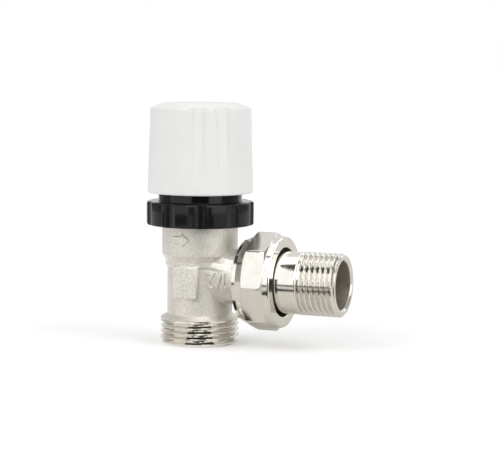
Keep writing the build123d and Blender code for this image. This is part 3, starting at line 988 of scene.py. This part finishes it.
def stage_material(name, colour, lift):
    """Matt surface, which camera, glossy and transmission rays see brighter by its lift."""
    material, tree, shader = node_material(name)
    tree.nodes.remove(shader)
    output = tree.nodes["Material Output"]
    diffuse = tree.nodes.new("ShaderNodeBsdfDiffuse")
    diffuse.inputs["Color"].default_value = (*colour, 1)
    if lift == 0:
        tree.links.new(diffuse.outputs["BSDF"], output.inputs["Surface"])
        return material
    emission = tree.nodes.new("ShaderNodeEmission")
    tree.links.new(seen_rays(tree, lift, lift), emission.inputs["Strength"])
    both = tree.nodes.new("ShaderNodeAddShader")
    tree.links.new(diffuse.outputs["BSDF"], both.inputs[0])
    tree.links.new(emission.outputs["Emission"], both.inputs[1])
    tree.links.new(both.outputs["Shader"], output.inputs["Surface"])
    return material


def seen_rays(tree, straight, reflected):
    """One strength for camera rays, one for glossy and transmission rays, and 0 for all others."""
    path = tree.nodes.new("ShaderNodeLightPath")
    strengths = {"Is Camera Ray": straight, "Is Glossy Ray": reflected, "Is Transmission Ray": reflected}
    total = None
    for kind, value in strengths.items():
        share = tree.nodes.new("ShaderNodeMath")
        share.operation = "MULTIPLY"
        share.inputs[1].default_value = value
        tree.links.new(path.outputs[kind], share.inputs[0])
        if total is None:
            total = share.outputs["Value"]
            continue
        most = tree.nodes.new("ShaderNodeMath")
        most.operation = "MAXIMUM"
        tree.links.new(total, most.inputs[0])
        tree.links.new(share.outputs["Value"], most.inputs[1])
        total = most.outputs["Value"]
    return total


def card(name, near_edge, far_edge, material):
    """Strip between two edges of as many points each."""
    points = [tuple(Vector(point) * MM) for point in near_edge + far_edge]
    count = len(near_edge)
    faces = [(index, index + 1, count + index + 1, count + index) for index in range(count - 1)]
    mesh = bpy.data.meshes.new(name)
    mesh.from_pydata(points, [], faces)
    piece = bpy.data.objects.new(name, mesh)
    bpy.context.scene.collection.objects.link(piece)
    mesh.materials.append(material)
    return piece


def toward(azimuth, elevation, reach):
    """Point at a reach from the origin. Azimuth 0 is the front, 90 the outlet's side."""
    a, e = radians(azimuth), radians(elevation)
    return Vector((sin(a) * cos(e), -cos(a) * cos(e), sin(e))) * reach


def unseen(piece):
    """Leave a piece to reflections alone."""
    piece.visible_camera = False
    piece.visible_diffuse = False
    piece.visible_shadow = False


def wall_card(name, west, east, bottom, top, material, reach=900):
    """Card between two azimuths and two elevations, which only reflections see."""
    azimuths = np.linspace(west, east, 13)
    low_edge = [toward(azimuth, bottom, reach) for azimuth in azimuths]
    high_edge = [toward(azimuth, top, reach) for azimuth in azimuths]
    unseen(card(name, low_edge, high_edge, material))


def floor_card(name, west, east, near, far, height, material):
    """Card on the floor between two azimuths and two distances, which only reflections see."""
    azimuths = np.linspace(west, east, 13)
    up = Vector((0, 0, height))
    near_edge = [toward(azimuth, 0, near) + up for azimuth in azimuths]
    far_edge = [toward(azimuth, 0, far) + up for azimuth in azimuths]
    unseen(card(name, near_edge, far_edge, material))


floor_white = stage_material("floor_white", (0.8, 0.8, 0.8), 0.28)
dark_matt = stage_material("dark_matt", (0.03, 0.028, 0.026), 0)
grey_matt = stage_material("grey_matt", (0.80, 0.78, 0.74), 0)
mid_grey = stage_material("mid_grey", (0.40, 0.39, 0.37), 0)
soft_white = stage_material("soft_white", (0.0, 0.0, 0.0), 1.28)

floor_reach = 6000
card(
    "floor", [(-floor_reach, -floor_reach, 0), (floor_reach, -floor_reach, 0)],
    [(-floor_reach, floor_reach, 0), (floor_reach, floor_reach, 0)], floor_white
)
wall_card("camera_side_card", camera_azimuth - 24, camera_azimuth + 24, 0, 18, dark_matt)
floor_card("near_floor_card", camera_azimuth - 28, camera_azimuth + 28, 14, 26, card_height, dark_matt)
floor_card("camera_floor_card", camera_azimuth - 14, camera_azimuth + 28, 55, 1200, card_height, dark_matt)
floor_card("horizon_floor_card", -42, -4, 170, 700, card_height, dark_matt)
floor_card("grey_floor_card", -88, 172, 16, 1200, grey_card_height, grey_matt)
wall_card("overhead_card", -68, -26, 47, 70, dark_matt)
wall_card("left_grey_card", -130, -66, 0, 60, mid_grey)
wall_card("right_grey_card", 84, 150, 0, 45, mid_grey)
wall_card("zenith_card", -180, 180, 79, 89, dark_matt)
wall_card("front_softbox_card", -62, -6, 4, 45, soft_white)

world = bpy.data.worlds.new("surroundings")
world.use_nodes = True
bpy.context.scene.world = world
sky = world.node_tree
background = sky.nodes["Background"]
background.inputs["Color"].default_value = (1, 1, 1, 1)
strength = sky.nodes.new("ShaderNodeMath")
strength.operation = "MAXIMUM"
strength.inputs[1].default_value = sky_light
sky.links.new(seen_rays(sky, sky_seen, sky_mirrored), strength.inputs[0])
sky.links.new(strength.outputs["Value"], background.inputs["Strength"])


def soft_sun(name, azimuth, elevation, power, spread):
    """Wide, soft lamp from a direction."""
    lamp = bpy.data.lights.new(name, "SUN")
    lamp.energy = power
    lamp.angle = radians(spread)
    lamp_object = bpy.data.objects.new(name, lamp)
    bpy.context.scene.collection.objects.link(lamp_object)
    lamp_object.rotation_mode = "QUATERNION"
    lamp_object.rotation_quaternion = toward(azimuth, elevation, -1).to_track_quat("-Z", "Y")
    return lamp_object


for side, azimuth, power, sheen_power in (("left", -34, 1.05, 1.6), ("right", 80, 1.1, 2.4)):
    key = soft_sun(side + "_key", azimuth, lamp_elevation, power, key_spread)
    key.visible_glossy = False
    sheen = soft_sun(side + "_sheen", azimuth, lamp_elevation, sheen_power, sheen_spread)
    sheen.visible_diffuse = False

# Camera


def make_camera():
    lens = bpy.data.cameras.new("camera")
    lens.sensor_width = sensor_width
    lens.lens = camera_focal_px / photo_width * sensor_width
    lens.clip_start = 0.01
    lens.clip_end = 50
    camera = bpy.data.objects.new("camera", lens)
    bpy.context.scene.collection.objects.link(camera)
    a = radians(camera_azimuth)
    heading = a + radians(camera_pan)
    tilt = radians(camera_tilt)
    roll = radians(camera_roll)
    forward = Vector((-sin(heading) * cos(tilt), cos(heading) * cos(tilt), -sin(tilt)))
    level = Vector((cos(heading), sin(heading), 0))
    above = level.cross(forward)
    right = cos(roll) * level + sin(roll) * above
    up = cos(roll) * above - sin(roll) * level
    place = Vector((camera_reach * sin(a), -camera_reach * cos(a), camera_height)) * MM
    turn = Matrix((right, up, -forward)).transposed().to_4x4()
    camera.matrix_world = Matrix.Translation(place) @ turn
    bpy.context.scene.camera = camera


make_camera()
bpy.context.scene.view_settings.view_transform = "Standard"
